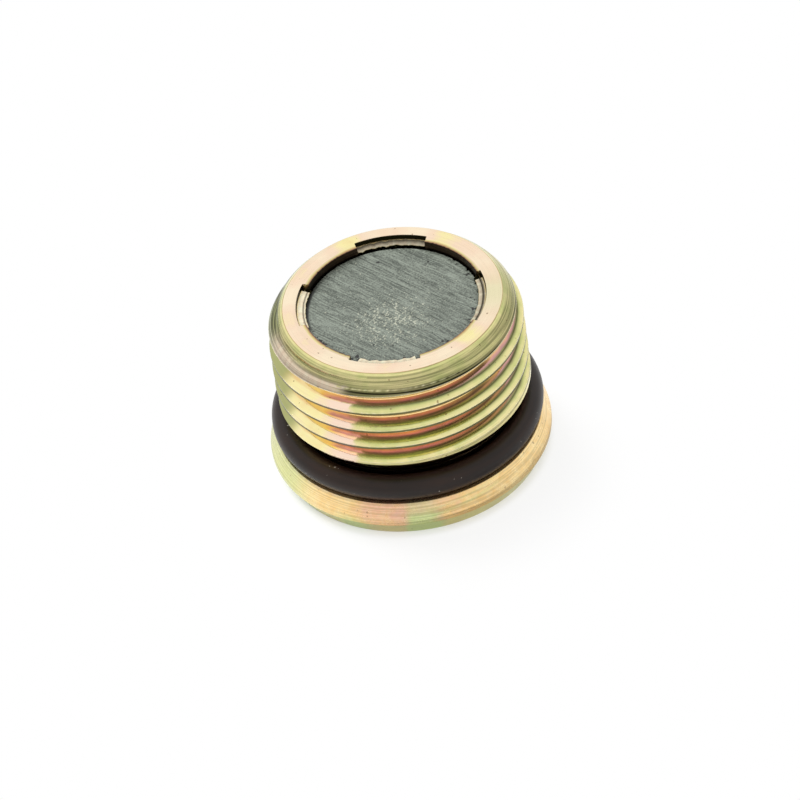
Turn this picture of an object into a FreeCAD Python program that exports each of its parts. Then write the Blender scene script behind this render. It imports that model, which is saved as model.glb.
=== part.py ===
"""Magnetic drain plug, M18 x 1.5, with a flange head and a seal ring.

Millimetres. The origin is the centre of the head's outer face, and +Z runs along
the thread's axis towards the magnet. The front of the plug faces -Y.
Three pieces: the steel plug, the ferrite disc staked into its nose, and the
rubber ring round its neck.
"""
import FreeCAD, Part
import math
import os
from FreeCAD import Vector

# Thread, right hand, 60 degree flanks
THREAD_DIAMETER = 18.0
PITCH = 1.5
FLANK_ANGLE = 60.0
CREST_FLAT_SHARE = 1 / 8        # crest flat, as a share of the pitch
THREAD_DEPTH_SHARE = 0.6134     # groove depth, as a share of the pitch
GROOVE_END_RISE = 0.27          # relief's upper edge up to the middle of the full groove's end
GROOVE_END_AZIMUTH = -150.0     # where the full groove ends, from the front, clockwise
RUN_OUT_ANGLE = 60.0            # further turn in which the groove fades out

# Overall and head
TOTAL_HEIGHT = 13.5
FLANGE_OVERHANG = 1.0           # flange's edge beyond the thread's crests
FLANGE_THICKNESS = 2.85
HEAD_CHAMFER_HEIGHT = 1.25
HEAD_CHAMFER_IN = 0.70
RIM_LAND_HEIGHT = 0.35          # straight part of the rim above the chamfer
RIM_TAPER_IN = 0.50             # how far the rim leans in towards the seal face

# Neck under the thread
RELIEF_DEPTH = 1.15             # thread's crests in to the neck
RELIEF_CONE_ANGLE = 35.0        # of the cone that leads from the neck to the thread
RING_OVER_NECK = 0.24           # how far the seal ring reaches up past the straight neck

# Nose
LEAD_REACH = 0.775              # thread's crests in to the bevel
LAND_WIDTH = 1.425              # of the flat ring round the pocket
NOSE_BEVEL = 0.50
NOSE_BEVEL_ANGLE = 45.0
LEAD_ANGLE = 30.0               # of the cone that leads into the thread

# Hexagon socket in the head
SOCKET_FLATS = 8.0
SOCKET_DEPTH = 4.8
SOCKET_MOUTH_CHAMFER = 0.35     # beyond the hexagon's corners, at 45 degrees

# Magnet
MAGNET_THICKNESS = 5.0
MAGNET_RECESS = 0.65            # nose face down to the magnet's face
MAGNET_CLEARANCE = 0.1          # radial, magnet to pocket wall

# Stakes, the punched lips that hold the magnet
STAKE_COUNT = 4
STAKE_AZIMUTH = -7.3            # middle of the front stake, from the front
STAKE_WIDTH_ANGLE = 43.0
STAKE_PUNCH_WIDTH = 0.6         # pocket wall out to the punched wall
STAKE_WALL_DEPTH = 0.30
STAKE_TIP_DEPTH = 0.45
STAKE_LIP_REACH = 0.2           # how far a lip stands over the magnet

# Seal ring
RING_SECTION = 1.8
RING_FLATS_PER_QUARTER = 3      # of the flats that stand for the round section

# Worked out from the sizes above
THREAD_RADIUS = THREAD_DIAMETER / 2
FLANGE_RADIUS = THREAD_RADIUS + FLANGE_OVERHANG
NECK_RADIUS = THREAD_RADIUS - RELIEF_DEPTH
NECK_TOP = FLANGE_THICKNESS + RING_SECTION - RING_OVER_NECK
SHANK_START = NECK_TOP + RELIEF_DEPTH / math.tan(math.radians(RELIEF_CONE_ANGLE))
BEVEL_RADIUS = THREAD_RADIUS - LEAD_REACH
BEVEL_START = TOTAL_HEIGHT - NOSE_BEVEL
LAND_RADIUS = BEVEL_RADIUS - NOSE_BEVEL * math.tan(math.radians(NOSE_BEVEL_ANGLE))
POCKET_RADIUS = LAND_RADIUS - LAND_WIDTH
MAGNET_RADIUS = POCKET_RADIUS - MAGNET_CLEARANCE
MAGNET_TOP = TOTAL_HEIGHT - MAGNET_RECESS
POCKET_FLOOR = MAGNET_TOP - MAGNET_THICKNESS
FRONT = -90.0                   # the front's angle in the XY plane
CUT_MARGIN = 0.05               # how far a groove's tool stands outside the thread
TURNS_PER_SWEEP = 2             # the groove is swept in pieces of at most this many turns


def tangent(degrees):
    """Tangent of an angle in degrees."""
    return math.tan(math.radians(degrees))


def face_of(corners):
    """A face in the XZ plane from (radius, height) corners."""
    points = [Vector(radius, 0, height) for radius, height in corners]
    return Part.Face(Part.makePolygon(points + points[:1]))


def turned(face, start=0.0, angle=360.0):
    """The solid that a face in the XZ plane sweeps round the axis."""
    solid = face.revolve(Vector(0, 0, 0), Vector(0, 0, 1), angle)
    solid.rotate(Vector(0, 0, 0), Vector(0, 0, 1), start)
    return solid


def turned_blank():
    """The plug before threading: flange, neck, relief cone, shank and nose."""
    return turned(face_of([
        (0, 0),
        (FLANGE_RADIUS - HEAD_CHAMFER_IN, 0),
        (FLANGE_RADIUS, HEAD_CHAMFER_HEIGHT),
        (FLANGE_RADIUS, HEAD_CHAMFER_HEIGHT + RIM_LAND_HEIGHT),
        (FLANGE_RADIUS - RIM_TAPER_IN, FLANGE_THICKNESS),
        (NECK_RADIUS, FLANGE_THICKNESS),
        (NECK_RADIUS, NECK_TOP),
        (THREAD_RADIUS, SHANK_START),
        (THREAD_RADIUS, BEVEL_START - LEAD_REACH / tangent(LEAD_ANGLE)),
        (BEVEL_RADIUS, BEVEL_START),
        (LAND_RADIUS, TOTAL_HEIGHT),
        (0, TOTAL_HEIGHT),
    ]))


def groove_profile():
    """The V of the groove with its flat root, in the XZ plane about height 0.

    It opens at the thread's full radius, less the crest flat, and its flanks run
    on a margin outside it.
    """
    half_angle = FLANK_ANGLE / 2
    half_width = PITCH * (1 - CREST_FLAT_SHARE) / 2
    depth = PITCH * THREAD_DEPTH_SHARE
    root_half = half_width - depth * tangent(half_angle)
    outer_half = half_width + CUT_MARGIN * tangent(half_angle)
    corners = [
        Vector(THREAD_RADIUS + CUT_MARGIN, 0, -outer_half),
        Vector(THREAD_RADIUS - depth, 0, -root_half),
        Vector(THREAD_RADIUS - depth, 0, root_half),
        Vector(THREAD_RADIUS + CUT_MARGIN, 0, outer_half),
    ]
    return Part.makePolygon(corners + corners[:1])


def swept_groove(turns, spread=0.0):
    """A right-hand helical groove from angle 0 and height 0, upwards.

    With a spread the helix opens outwards by that much over its length, which
    lifts the groove's root out of the steel.
    """
    height = turns * PITCH
    cone = math.degrees(math.atan2(spread, height))
    helix = Part.makeHelix(PITCH, height, THREAD_RADIUS, cone)
    return Part.Wire(helix.Edges).makePipeShell([groove_profile()], True, True)


def placed(shape, azimuth, height):
    """A shape turned to an azimuth from the front and lifted to a height."""
    shape.rotate(Vector(0, 0, 0), Vector(0, 0, 1), FRONT + azimuth)
    shape.translate(Vector(0, 0, height))
    return shape


def thread_grooves():
    """The full groove of the thread, in sweeps end to end, up past the nose."""
    bottom = SHANK_START + GROOVE_END_RISE
    turns = (TOTAL_HEIGHT + PITCH - bottom) / PITCH
    count = math.ceil(turns / TURNS_PER_SWEEP)
    step = turns / count
    return [
        placed(swept_groove(step), GROOVE_END_AZIMUTH + 360 * step * i, bottom + PITCH * step * i)
        for i in range(count)
    ]


def run_out_groove():
    """The short piece in which the groove rises out of the steel at its end."""
    piece = swept_groove(RUN_OUT_ANGLE / 360, PITCH * THREAD_DEPTH_SHARE)
    # Turned over, so that it starts at full depth and opens downwards
    piece.rotate(Vector(0, 0, 0), Vector(1, 0, 0), 180)
    return placed(piece, GROOVE_END_AZIMUTH, SHANK_START + GROOVE_END_RISE)


def hex_socket():
    """The tool that forms the hexagon socket, with its flat floor and countersunk mouth."""
    corner = SOCKET_FLATS / 2 / math.cos(math.radians(30))
    angles = [math.radians(30 + 60 * i) for i in range(6)]
    points = [Vector(corner * math.cos(a), corner * math.sin(a), 0) for a in angles]
    prism = Part.Face(Part.makePolygon(points + points[:1])).extrude(Vector(0, 0, SOCKET_DEPTH))
    mouth_radius = corner + SOCKET_MOUTH_CHAMFER
    mouth = Part.makeCone(mouth_radius, SOCKET_FLATS / 2, mouth_radius - SOCKET_FLATS / 2)
    return prism.fuse(mouth)


def stake_start(number):
    """The angle in the XY plane where a stake starts."""
    middle = FRONT + STAKE_AZIMUTH + number * 360 / STAKE_COUNT
    return middle - STAKE_WIDTH_ANGLE / 2


def stake_floor(radius):
    """Height of the punched floor, which slopes down from its wall to the lip's tip."""
    tip = POCKET_RADIUS - STAKE_LIP_REACH
    wall = POCKET_RADIUS + STAKE_PUNCH_WIDTH
    share = (radius - tip) / (wall - tip)
    return TOTAL_HEIGHT - STAKE_TIP_DEPTH + share * (STAKE_TIP_DEPTH - STAKE_WALL_DEPTH)


def stake_punch(number):
    """The tool that presses one stake down into the flat ring."""
    tip = POCKET_RADIUS - STAKE_LIP_REACH
    wall = POCKET_RADIUS + STAKE_PUNCH_WIDTH
    above = TOTAL_HEIGHT + NOSE_BEVEL
    profile = face_of([(tip, stake_floor(tip)), (wall, stake_floor(wall)), (wall, above), (tip, above)])
    return turned(profile, stake_start(number), STAKE_WIDTH_ANGLE)


def stake_lip(number):
    """The steel that one stake pushes over the magnet's edge."""
    tip = POCKET_RADIUS - STAKE_LIP_REACH
    root = POCKET_RADIUS + STAKE_LIP_REACH
    profile = face_of([(tip, MAGNET_TOP), (root, MAGNET_TOP), (root, stake_floor(root)), (tip, stake_floor(tip))])
    return turned(profile, stake_start(number), STAKE_WIDTH_ANGLE)


def plug_body():
    """The one-piece steel plug: head, neck, thread, pocket and stakes."""
    pocket = Part.makeCylinder(POCKET_RADIUS, TOTAL_HEIGHT - POCKET_FLOOR, Vector(0, 0, POCKET_FLOOR))
    body = turned_blank()
    for groove in [*thread_grooves(), run_out_groove()]:
        body = body.cut(groove)
    body = body.cut([pocket, hex_socket()])
    body = body.cut([stake_punch(number) for number in range(STAKE_COUNT)])
    body = body.fuse([stake_lip(number) for number in range(STAKE_COUNT)])
    return body.removeSplitter()


def magnet():
    """The flat ferrite disc that rests on the pocket's floor."""
    return Part.makeCylinder(MAGNET_RADIUS, MAGNET_THICKNESS, Vector(0, 0, POCKET_FLOOR))


def seal_ring():
    """The rubber ring, stretched on the neck and seated on the flange's seal face.

    Its section is round, drawn with flats, one of which lies on the neck and one
    on the seal face.
    """
    half = RING_SECTION / 2
    flats = 4 * RING_FLATS_PER_QUARTER
    corner = half / math.cos(math.pi / flats)
    angles = [2 * math.pi * (i + 0.5) / flats for i in range(flats)]
    return turned(face_of([
        (NECK_RADIUS + half + corner * math.cos(a), FLANGE_THICKNESS + half + corner * math.sin(a))
        for a in angles
    ]))


def main():
    """Build each piece and write it to its own file."""
    os.makedirs("parts", exist_ok=True)
    pieces = {"plug_body": plug_body(), "magnet": magnet(), "seal_ring": seal_ring()}
    for name, shape in pieces.items():
        solid = shape.Solids[0]
        print(name, "solids", len(shape.Solids), "valid", solid.isValid(), "volume", round(solid.Volume, 2))
        solid.exportStep(f"parts/{name}.step")


if __name__ == "__main__":
    main()
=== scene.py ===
"""Looks of a magnetic drain plug: a plated steel screw plug, a ferrite disc and a rubber seal ring.

Everything is in metres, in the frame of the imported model: the origin is the centre
of the head's flat face, +Z runs along the thread towards the magnet, and the front
faces -Y. The steel plug is one closed skin on a grid of columns, the angle round
the axis, and rows, the way along the turned outline. In the thread the rows climb
with the helix, so that each crest edge lies along a row.
"""
import logging
import math
from dataclasses import dataclass, field
from typing import Any, Sequence

import bpy
import numpy as np
from mathutils import Matrix, Vector


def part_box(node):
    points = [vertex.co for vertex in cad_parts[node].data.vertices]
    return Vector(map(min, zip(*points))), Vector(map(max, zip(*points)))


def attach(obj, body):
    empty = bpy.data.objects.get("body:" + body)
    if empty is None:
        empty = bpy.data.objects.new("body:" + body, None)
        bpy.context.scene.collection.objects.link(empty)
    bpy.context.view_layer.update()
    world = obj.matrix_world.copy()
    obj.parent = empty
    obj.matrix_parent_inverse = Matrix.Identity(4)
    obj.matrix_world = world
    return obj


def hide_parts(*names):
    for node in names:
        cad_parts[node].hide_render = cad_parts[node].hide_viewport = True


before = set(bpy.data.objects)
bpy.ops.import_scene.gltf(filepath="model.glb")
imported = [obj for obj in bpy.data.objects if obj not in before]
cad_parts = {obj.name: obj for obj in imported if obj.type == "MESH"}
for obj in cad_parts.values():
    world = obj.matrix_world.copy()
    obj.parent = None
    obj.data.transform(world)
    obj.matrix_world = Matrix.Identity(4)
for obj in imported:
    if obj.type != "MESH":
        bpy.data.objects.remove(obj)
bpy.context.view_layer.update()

LOG = logging.getLogger("drain_plug")
MM = 0.001
TURN = 2 * math.pi
FRONT = -math.pi / 2
MERGE_DISTANCE = 1e-8

Colour = tuple[float, float, float]


def linear(red: int, green: int, blue: int) -> Colour:
    """A colour as a screen shows it, from 0 to 255, in the linear values that shaders take."""
    shares = np.array([red, green, blue]) / 255
    low = shares / 12.92
    high = ((shares + 0.055) / 1.055) ** 2.4
    return tuple(float(v) for v in np.where(shares <= 0.04045, low, high))


def smooth_step(value: np.ndarray, low: float, high: float) -> np.ndarray:
    """0 below low and 1 above high, with the cubic 3t^2 - 2t^3 between.

    Args:
        value: Numbers to test.
        low: Where the rise starts.
        high: Where it ends. It may be below low, and then the rise is a fall.

    Returns:
        Numbers from 0 to 1, as many as value.
    """
    share = np.clip((value - low) / (high - low), 0.0, 1.0)
    return share * share * (3 - 2 * share)


def angle_from(angle: np.ndarray, centre: float) -> np.ndarray:
    """Signed angle from a centre to each angle, from minus half a turn to half a turn."""
    return (angle - centre + math.pi) % TURN - math.pi


def round_noise(angle: np.ndarray, seed: int, low: int, high: int) -> np.ndarray:
    """Noise that closes on itself round the axis: a sum of waves of random phase.

    Args:
        angle: Angles round the axis, in radians.
        seed: Seed of the phases and heights.
        low: Fewest waves in a turn.
        high: Most waves in a turn.

    Returns:
        Numbers of about unit spread, one for each angle.
    """
    random = np.random.default_rng(seed)
    waves = np.arange(low, high + 1)
    phase = random.uniform(0, TURN, waves.size)
    height = random.normal(0, 1, waves.size)
    total = np.cos(angle[..., None] * waves + phase) @ height
    return total / math.sqrt(0.5 * waves.size)


class Skin:
    """Collects grids of points with finish values, and makes them one closed mesh."""

    VALUES = ("film", "wear_and_painted_highlight", "marks_and_painted_shade", "satin", "tool", "cream", "moss")

    def __init__(self) -> None:
        """Start with no points and no faces."""
        self.points: list[np.ndarray] = []
        self.values: list[np.ndarray] = []
        self.quads: list[np.ndarray] = []
        self.count = 0

    def add_grid(self, points: np.ndarray, values: np.ndarray, climb: int = 0) -> None:
        """Add a grid that closes round the axis.

        Quad (i, j) joins rows i and i + 1 and columns j and j + 1. From the last
        column back to the first, a row of a helix meets the row that is climb
        further on, and rows past the end meet the last one.

        Args:
            points: Places, shaped (rows, columns, 3), ordered so that faces point
                outwards when rows go up the outside.
            values: Finish values, shaped (rows, columns, 7).
            climb: Rows in one pitch of a helical grid, or 0.
        """
        rows, columns = points.shape[:2]
        row = np.arange(rows)
        index = self.count + row[:, None] * columns + np.arange(columns)[None, :]
        joined = self.count + np.minimum(row + climb, rows - 1) * columns
        after = np.concatenate([index[:, 1:], joined[:, None]], axis=1)
        quads = np.stack([index[:-1], after[:-1], after[1:], index[1:]], axis=-1)
        self.points.append(points.reshape(-1, 3))
        self.values.append(values.reshape(-1, len(self.VALUES)))
        self.quads.append(quads.reshape(-1, 4))
        self.count += rows * columns

    def to_object(self, name: str, sharp_angle: float) -> bpy.types.Object:
        """The mesh of all grids, with like points merged and thin faces dropped.

        Args:
            name: Name of the object and its mesh.
            sharp_angle: Edges that turn by more than this, in radians, stay sharp.

        Returns:
            The new object, at the origin.
        """
        points = np.concatenate(self.points)
        values = np.concatenate(self.values)
        quads = np.concatenate(self.quads)
        keys = np.round(points / MERGE_DISTANCE).astype(np.int64)
        _, first, back = np.unique(keys, axis=0, return_index=True, return_inverse=True)
        quads = back.reshape(-1)[quads]
        points, values = points[first], values[first]
        same = quads == np.roll(quads, -1, axis=1)
        corners = (~same).sum(axis=1)
        whole = quads[corners == 4]
        whole = whole[(whole[:, 0] != whole[:, 2]) & (whole[:, 1] != whole[:, 3])]
        partial = corners == 3
        threes = quads[partial][~same[partial]].reshape(-1, 3)
        loops = np.concatenate([whole.ravel(), threes.ravel()])
        starts = np.concatenate([
            np.arange(len(whole)) * 4,
            len(whole) * 4 + np.arange(len(threes)) * 3,
        ])
        mesh = bpy.data.meshes.new(name)
        mesh.vertices.add(len(points))
        mesh.vertices.foreach_set("co", points.astype(np.float32).ravel())
        mesh.loops.add(len(loops))
        mesh.loops.foreach_set("vertex_index", loops.astype(np.int32))
        mesh.polygons.add(len(starts))
        mesh.polygons.foreach_set("loop_start", starts.astype(np.int32))
        mesh.update(calc_edges=True)
        mesh.validate()
        mesh.polygons.foreach_set("use_smooth", np.ones(len(mesh.polygons), bool))
        mesh.set_sharp_from_angle(angle=sharp_angle)
        for column, label in enumerate(self.VALUES):
            layer = mesh.attributes.new(label, "FLOAT", "POINT")
            layer.data.foreach_set("value", values[:, column].astype(np.float32))
        thing = bpy.data.objects.new(name, mesh)
        bpy.context.scene.collection.objects.link(thing)
        return thing


def around(radius: np.ndarray, height: np.ndarray, angle: np.ndarray) -> np.ndarray:
    """Points at (r cos a, r sin a, z), in metres from radii and heights in millimetres."""
    radius, height, angle = np.broadcast_arrays(radius, height, angle)
    return np.stack([radius * np.cos(angle), radius * np.sin(angle), height], axis=-1) * MM


def spaced(start: float, end: float, count: int) -> list[float]:
    """Even steps from start to end, without the start."""
    return list(np.linspace(start, end, count + 1)[1:])


@dataclass
class Outline:
    """A turned outline: rows of (radius, height), with corners rounded by arcs."""

    radii: list[float] = field(default_factory=list)
    heights: list[float] = field(default_factory=list)

    @staticmethod
    def rounded(corners: Sequence[tuple[float, float, float]], arc_rows: int,
                steps: Sequence[int]) -> "Outline":
        """Follow corners, and replace each by an arc that touches both its sides.

        The arc of radius f at a turn of angle t starts f tan(t/2) before the corner.

        Args:
            corners: Radius, height and fillet of each corner, in millimetres.
            arc_rows: Rows in each arc.
            steps: Rows along each straight run.

        Returns:
            The outline's rows.
        """
        made = Outline([corners[0][0]], [corners[0][1]])
        for number in range(1, len(corners)):
            here = np.array(corners[number][:2])
            before = np.array(corners[number - 1][:2])
            fillet = corners[number][2]
            inward = (before - here) / np.linalg.norm(before - here)
            last = number == len(corners) - 1
            if last or fillet == 0:
                made.run_to(here, steps[number - 1])
                continue
            following = np.array(corners[number + 1][:2])
            onward = (following - here) / np.linalg.norm(following - here)
            half = math.acos(float(np.clip(inward @ onward, -1, 1))) / 2
            reach = fillet / math.tan(half)
            start, end = here + inward * reach, here + onward * reach
            middle = here + (inward + onward) / np.linalg.norm(inward + onward) * fillet / math.sin(half)
            made.run_to(start, steps[number - 1])
            first, second = start - middle, end - middle
            swing = math.acos(float(np.clip(first @ second / fillet ** 2, -1, 1)))
            for share in spaced(0, 1, arc_rows):
                blend = (math.sin((1 - share) * swing) * first + math.sin(share * swing) * second)
                made.add(middle + blend / math.sin(swing))
        return made

    def add(self, place: np.ndarray) -> None:
        """Add one row."""
        self.radii.append(float(place[0]))
        self.heights.append(float(place[1]))

    def run_to(self, place: np.ndarray, steps: int) -> None:
        """Add rows in even steps from the last one to a place."""
        start = np.array([self.radii[-1], self.heights[-1]])
        for share in spaced(0, 1, steps):
            self.add(start + (place - start) * share)


@dataclass(frozen=True)
class Stake:
    """One punched lip that holds the disc.

    Angles are in degrees, the first from the front, and sizes in millimetres:
    the punched wall's radius, the lip's inner radius, the ledge's depth under the
    land, and the open notches at the ledge's two ends. Silver is the share of bare
    metal on the ledge, the next is painted shade on the ledge, deepest at its wall,
    and the last is where a line of painted shade runs across it, from 0 at its foot
    to 1 at its inner edge.
    """

    middle: float
    width: float
    ragged: float
    outer: float
    tip: float
    sunk: float
    notch_before: float
    notch_after: float
    silver: float
    painted_stake_shade: float
    shade_line_place: float


@dataclass(frozen=True)
class Dent:
    """A small knock in the steel: its angle from the front, height, half width and depth."""

    azimuth: float
    height: float
    width: float
    depth: float


@dataclass
class PlugBody:
    """The one-piece steel plug. Sizes are in millimetres, angles in degrees.

    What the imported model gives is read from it, and the rest are the plug's own
    turning and rolling sizes.
    """

    pitch: float = 1.5
    crest_flat_share: float = 1 / 8
    depth_share: float = 0.6134
    groove_end_rise: float = 0.27
    groove_end_azimuth: float = -150.0
    run_out_angle: float = 60.0
    nose_stretch: float = 0.27
    crest_valley: float = 0.022
    crest_lip: float = 0.045
    head_chamfer_height: float = 1.25
    head_chamfer_in: float = 0.70
    rim_land_height: float = 0.35
    rim_taper_in: float = 0.50
    rim_corner_radius: float = 0.12
    flange_overhang: float = 1.0
    relief_angle: float = 35.0
    ring_over_neck: float = 0.24
    lead_reach: float = 0.775
    lead_angle: float = 30.0
    lead_crown: float = 0.065
    bevel: float = 0.50
    land_width: float = 1.425
    socket_flats: float = 8.0
    socket_depth: float = 4.8
    socket_mouth: float = 0.35
    punch_width: float = 0.6
    wall_depth: float = 0.30
    lip_reach: float = 0.2
    even_columns: int = 300
    name: str = "plug_body_skin"

    def __post_init__(self) -> None:
        """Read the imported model's sizes and work out the rest."""
        _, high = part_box("plug_body")
        disc_low, disc_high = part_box("magnet")
        ring_low, ring_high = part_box("seal_ring")
        self.height = high.z / MM
        self.flange_radius = high.x / MM
        self.thread_radius = self.flange_radius - self.flange_overhang
        self.disc_top = disc_high.z / MM
        self.pocket_floor = disc_low.z / MM
        self.seal_face = ring_low.z / MM
        self.ring_section = (ring_high.z - ring_low.z) / MM
        self.neck_radius = ring_high.x / MM - self.ring_section
        self.neck_top = self.seal_face + self.ring_section - self.ring_over_neck
        self.relief_slope = math.tan(math.radians(self.relief_angle))
        self.shank_start = self.neck_top + (self.thread_radius - self.neck_radius) / self.relief_slope
        self.bevel_radius = self.thread_radius - self.lead_reach
        self.bevel_start = self.height - self.bevel
        self.land_radius = self.bevel_radius - self.bevel
        self.pocket_radius = self.land_radius - self.land_width
        self.thread_bottom = self.neck_top + 0.45
        self.thread_top = self.height - 0.30
        self.stakes = [
            Stake(-10.5, 44.0, 1.2, 6.68, 6.08, 0.20, 4.6, 2.0, 0.50, 0.25, -1.0),
            Stake(81.6, 47.2, 0.7, 6.60, 6.02, 0.24, 0.0, 4.4, 0.18, 0.50, 0.35),
            Stake(175.6, 43.7, 1.3, 6.90, 6.32, 0.38, 0.0, 0.0, 0.12, 0.72, -1.0),
            Stake(-97.6, 38.4, 0.6, 6.78, 6.13, 0.30, 3.0, 0.0, 0.68, 0.05, 0.80),
        ]
        self.dents = [
            Dent(-3.0, 2.15, 0.16, 0.045),
            Dent(15.0, 1.75, 0.10, 0.05),
            Dent(38.0, 2.3, 0.13, 0.04),
            Dent(-36.0, 1.9, 0.12, 0.04),
            Dent(55.0, 1.6, 0.10, 0.05),
            Dent(-58.0, 2.4, 0.10, 0.035),
            Dent(130.0, 2.0, 0.14, 0.05),
            Dent(-140.0, 1.7, 0.12, 0.04),
        ]
        self.angles = self.column_angles()

    def column_angles(self) -> np.ndarray:
        """Angles of the columns: even steps, with more at stake ends and socket corners."""
        even = np.arange(self.even_columns) * TURN / self.even_columns
        ends = []
        for stake in self.stakes:
            low, high = stake.middle - stake.width / 2, stake.middle + stake.width / 2
            for place in sorted({low, low + stake.notch_before, high - stake.notch_after, high}):
                ends += [FRONT + math.radians(place + shift) for shift in (-0.45, -0.15, 0.15, 0.45)]
        corners = [math.radians(30 + 60 * number) for number in range(6)]
        extra = np.sort(np.array(ends + corners) % TURN)
        gap = np.abs(angle_from(even[:, None], extra[None, :])).min(axis=1)
        return np.sort(np.concatenate([even[gap > math.radians(0.3)], extra]))

    def groove_turns(self, angle: np.ndarray, height: np.ndarray) -> tuple[np.ndarray, np.ndarray]:
        """Where points lie on the helix of the groove.

        The groove's middle climbs by one pitch in a turn from its lower end.

        Args:
            angle: Angles round the axis.
            height: Heights in millimetres.

        Returns:
            The axial distance to the nearest groove's middle, and the angle that
            this groove has turned from its lower end.
        """
        start = FRONT + math.radians(self.groove_end_azimuth)
        end_height = self.shank_start + self.groove_end_rise
        climbed = (height - end_height) / self.pitch - (angle - start) / TURN
        whole = np.round(climbed)
        return (climbed - whole) * self.pitch, angle - start + TURN * whole

    def thread_radius_at(self, angle: np.ndarray, height: np.ndarray) -> np.ndarray:
        """Radius of the thread: crest flat with a rolled valley, 60 degree flanks, rounded root.

        With s the distance from the groove's middle, the flank rises by s / tan 30
        from the root, and the groove fades out past its lower end.
        """
        distance, turned = self.groove_turns(angle, height)
        distance = np.abs(distance)
        half_pitch = self.pitch / 2
        crest_half = self.pitch * self.crest_flat_share / 2
        depth = self.pitch * self.depth_share
        from_crest = half_pitch - distance
        flank = (from_crest - crest_half) / math.tan(math.radians(30))
        sunk = np.clip(flank, 0, depth)
        root = smooth_step(sunk, depth * 0.86, depth) * depth * 0.03
        valley = self.crest_valley * (1 - smooth_step(from_crest, crest_half - self.crest_lip, crest_half))
        rounding = 0.006 * np.exp(-((from_crest - crest_half) / 0.02) ** 2)
        fade = np.clip(turned / math.radians(self.run_out_angle) + 1, 0, 1)
        return self.thread_radius - (sunk - root + rounding + valley * (from_crest < crest_half)) * fade

    def cones_at(self, height: np.ndarray) -> np.ndarray:
        """Radius of the relief cone, the crowned lead cone and the bevel, whichever is the least."""
        relief = self.neck_radius + (height - self.neck_top) * self.relief_slope
        lead_slope = math.tan(math.radians(self.lead_angle))
        lead = self.bevel_radius + (self.bevel_start - height) * lead_slope
        share = np.clip((self.bevel_start - height) * lead_slope / self.lead_reach, 0, 1)
        lead = lead + 4 * self.lead_crown * share * (1 - share)
        bevel = self.land_radius + (self.height - height)
        return np.minimum(np.minimum(relief, lead), np.minimum(bevel, self.thread_radius))

    def thread_rows(self) -> tuple[np.ndarray, int]:
        """Heights of the helical rows at angle 0, and how many there are in one pitch."""
        crest_half = self.pitch * self.crest_flat_share / 2
        steps = np.array([0.0, 0.035, 0.06, crest_half - 0.012, crest_half, 0.115, 0.15, 0.20,
                          0.27, 0.35, 0.43, 0.51, 0.57, 0.62, 0.665, 0.71])
        lower = np.sort(np.concatenate([steps[1:], [0.235, 0.31]]))
        one_pitch = np.concatenate([steps, [self.pitch / 2], self.pitch - lower[::-1]])
        start = FRONT + math.radians(self.groove_end_azimuth)
        crest = self.shank_start + self.groove_end_rise + self.pitch / 2 - self.pitch * start / TURN
        lowest = self.thread_bottom - self.pitch
        first = crest + self.pitch * math.floor((lowest - crest) / self.pitch)
        pitches = math.ceil((self.thread_top - first) / self.pitch)
        rows = (first + np.arange(pitches)[:, None] * self.pitch + one_pitch[None, :]).ravel()
        last = self.thread_top - self.nose_stretch
        kept = rows[(rows > lowest) & (rows < last)]
        return np.concatenate([[lowest], kept, [last]]), one_pitch.size

    def thread_grid(self) -> tuple[np.ndarray, np.ndarray, int]:
        """The helical grid of the thread, from the relief cone to the bevel.

        In each column, the row that lies nearest to the lead cone's lower edge is
        moved onto it.
        """
        rows, climb = self.thread_rows()
        angle = self.angles[None, :]
        last = self.thread_top - self.nose_stretch
        level = np.clip(rows[:, None] + self.pitch * angle / TURN, self.thread_bottom, last)
        angle = np.broadcast_to(angle, level.shape)
        height = level + self.stretch_at(angle, level)
        over_cone = self.thread_radius_at(angle, level) - self.cones_at(height)
        before, after = over_cone[:-1], over_cone[1:]
        crossing = (before < 0) & (after >= 0) & (level[:-1] > last - 1.4) & (level[1:] < last - 0.3)
        row, column = np.nonzero(crossing)
        share = before[row, column] / (before[row, column] - after[row, column])
        edge = level[row, column] * (1 - share) + level[row + 1, column] * share
        level[row + (share > 0.5), column] = edge
        height = level + self.stretch_at(angle, level)
        over_cone = self.thread_radius_at(angle, level) - self.cones_at(height)
        radius = self.cones_at(height) + np.minimum(over_cone, 0)
        radius = radius - self.wear(angle, height, radius)
        values = self.thread_values(angle, level, height, radius, over_cone)
        return around(radius, height, angle), values, climb

    def stretch_at(self, angle: np.ndarray, level: np.ndarray) -> np.ndarray:
        """How far rolling has drawn a level of the true helix up, towards the nose.

        Each crest and the flank above it move as one, and the hidden underside
        takes up the difference between two crests.
        """
        distance, _ = self.groove_turns(angle, level)
        over_crest = np.where(distance < 0, 1, -1) * (self.pitch / 2 - np.abs(distance))
        crest = level - over_crest
        last = self.thread_top - self.nose_stretch
        own = smooth_step(crest, last - 3.9, last - 0.8)
        lower = smooth_step(crest - self.pitch, last - 3.9, last - 0.8)
        share = smooth_step(over_crest, -0.70, -0.15)
        return self.nose_stretch * (own * share + lower * (1 - share))

    def wear(self, angle: np.ndarray, height: np.ndarray, radius: np.ndarray) -> np.ndarray:
        """How far knocks and handling have taken the crests down, in millimetres."""
        near_crest = smooth_step(radius, self.thread_radius - 0.12, self.thread_radius)
        fine = np.clip(round_noise(angle + height * 0.9, 11, 60, 150), 0, 3)
        return near_crest * 0.006 * fine

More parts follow.
